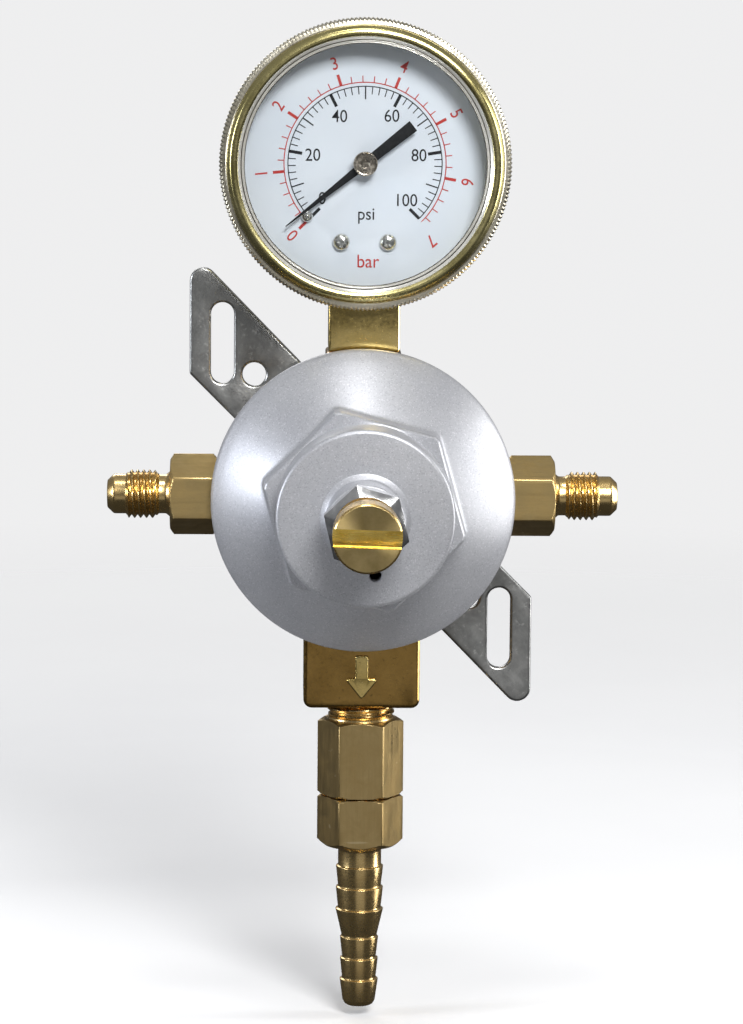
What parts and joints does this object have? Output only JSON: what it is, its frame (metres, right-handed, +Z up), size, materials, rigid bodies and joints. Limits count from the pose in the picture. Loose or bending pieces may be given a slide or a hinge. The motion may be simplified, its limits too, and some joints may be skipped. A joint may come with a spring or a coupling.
{
  "type": "carbon dioxide pressure regulator",
  "caption": "Wall-mounted secondary gas pressure regulator with spring bonnet, slotted adjusting screw, dial gauge, flare inlets, check valve and hose barb.",
  "frame": {"origin": "on the wall plane, where the bonnet's axis meets it", "axes": "+Z up along the gauge and the hose barb, +X to the right seen from the front, the front (bonnet, dial and adjusting screw) faces -Y, and +Y points into the wall"},
  "size_m": [0.1028, 0.081, 0.2014],
  "materials": {
    "brass": "machined",
    "movement_brass": "satin",
    "silver_paint": "satin silver-grey paint with a fine speckle",
    "nickel_chrome": "bright plated",
    "steel": "satin",
    "zinc_steel": "zinc plated, cloudy",
    "aluminium": "satin",
    "rubber": "matt",
    "gilt_metal": "polished, lacquered",
    "lens_glass": "clear",
    "dial_white": "satin white",
    "pointer_black": "satin black"
  },
  "bodies": {
    "regulator": {"bonnet": "silver_paint", "bourdon_tube": "movement_brass", "bracket_screw_1": "steel", "bracket_screw_2": "steel", "check_valve_body": "brass", "check_valve_spring": "steel", "dial_screw_left": "steel", "dial_screw_right": "steel", "dial_stop_pin": "steel", "diaphragm": "rubber", "gauge_bezel": "gilt_metal", "gauge_case": "gilt_metal", "gauge_dial": "dial_white", "gauge_gasket": "rubber", "gauge_lens": "lens_glass", "gauge_socket": "brass", "hairspring": "steel", "hose_barb": "brass", "inlet_fitting_left": "brass", "inlet_fitting_right": "brass", "inlet_screen_left": "steel", "inlet_screen_right": "steel", "movement_back_plate": "movement_brass", "movement_front_plate": "movement_brass", "movement_pillar_1": "movement_brass", "movement_pillar_2": "movement_brass", "poppet_spring": "steel", "range_spring": "steel", "slip_ring": "steel", "valve_body": "brass", "valve_cap": "brass", "valve_cap_oring": "rubber", "valve_seat": "brass", "wall_bracket": "zinc_steel"},
    "spring_button": {"spring_button": "steel"},
    "adjusting_screw": {"adjusting_screw": "brass"},
    "lock_washer": {"lock_washer": "steel"},
    "lock_nut": {"lock_nut": "nickel_chrome"},
    "diaphragm_stack": {"diaphragm_plate": "aluminium", "diaphragm_pusher": "movement_brass"},
    "poppet": {"poppet": "movement_brass"},
    "check_poppet": {"check_valve_poppet": "movement_brass", "check_valve_seal": "rubber"},
    "pointer": {"gauge_pointer": "pointer_black", "pointer_hub": "movement_brass", "pinion_arbor": "movement_brass"},
    "sector": {"sector_gear": "movement_brass"},
    "link": {"sector_link": "steel"},
    "tube_tip": {"bourdon_tip": "movement_brass"}
  },
  "joints": [
    {"name": "button_slide", "type": "slide", "parent": "regulator", "child": "spring_button", "axis": [0, 1, 0], "range_m": [-0.003, 0.0045], "deforming": ["range_spring"]},
    {"name": "screw_turn", "type": "hinge", "parent": "spring_button", "child": "adjusting_screw", "pos_m": [0, -0.061, 0], "axis": [0, 1, 0], "range_deg": [-725, 1085]},
    {"name": "washer_slide", "type": "slide", "parent": "regulator", "child": "lock_washer", "axis": [0, -1, 0], "range_m": [0, 0.0015]},
    {"name": "lock_nut_turn", "type": "hinge", "parent": "lock_washer", "child": "lock_nut", "pos_m": [0, -0.065, 0], "axis": [0, -1, 0], "range_deg": [0, 365]},
    {"name": "diaphragm_stroke", "type": "slide", "parent": "regulator", "child": "diaphragm_stack", "axis": [0, 1, 0], "range_m": [0, 0.0008], "stiffness_N_per_m": 4000, "deforming": ["diaphragm"]},
    {"name": "poppet_lift", "type": "slide", "parent": "regulator", "child": "poppet", "axis": [0, 1, 0], "range_m": [0, 0.0009], "deforming": ["poppet_spring"]},
    {"name": "check_lift", "type": "slide", "parent": "regulator", "child": "check_poppet", "axis": [0, 0, -1], "range_m": [0, 0.0009], "stiffness_N_per_m": 300, "deforming": ["check_valve_spring"]},
    {"name": "pointer_turn", "type": "hinge", "parent": "regulator", "child": "pointer", "pos_m": [0, -0.023, 0.0672], "axis": [0, 1, 0], "range_deg": [0, 265], "deforming": ["hairspring"]},
    {"name": "sector_turn", "type": "hinge", "parent": "regulator", "child": "sector", "pos_m": [0.009, -0.0177, 0.0552], "axis": [0, -1, 0], "range_deg": [0, 30]},
    {"name": "link_turn", "type": "hinge", "parent": "sector", "child": "link", "pos_m": [0.01417, -0.0187, 0.05332], "axis": [0, 1, 0], "range_deg": [0, 30]},
    {"name": "tube_tip_move", "type": "slide", "parent": "regulator", "child": "tube_tip", "axis": [0.0872, 0, 0.9962], "range_m": [0, 0.00277], "stiffness_N_per_m": 400, "springref_m": -0.0002, "deforming": ["bourdon_tube"]}
  ],
  "couplings": [
    {"joint": "screw_turn", "follows": "button_slide", "rad_per_m": 4188.8},
    {"joint": "lock_nut_turn", "follows": "washer_slide", "rad_per_m": 4188.8},
    {"joint": "poppet_lift", "follows": "diaphragm_stroke", "ratio": 1},
    {"joint": "sector_turn", "follows": "tube_tip_move", "rad_per_m": 183.91},
    {"joint": "link_turn", "follows": "tube_tip_move", "rad_per_m": 183.91},
    {"joint": "pointer_turn", "follows": "tube_tip_move", "rad_per_m": 1655.2}
  ]
}
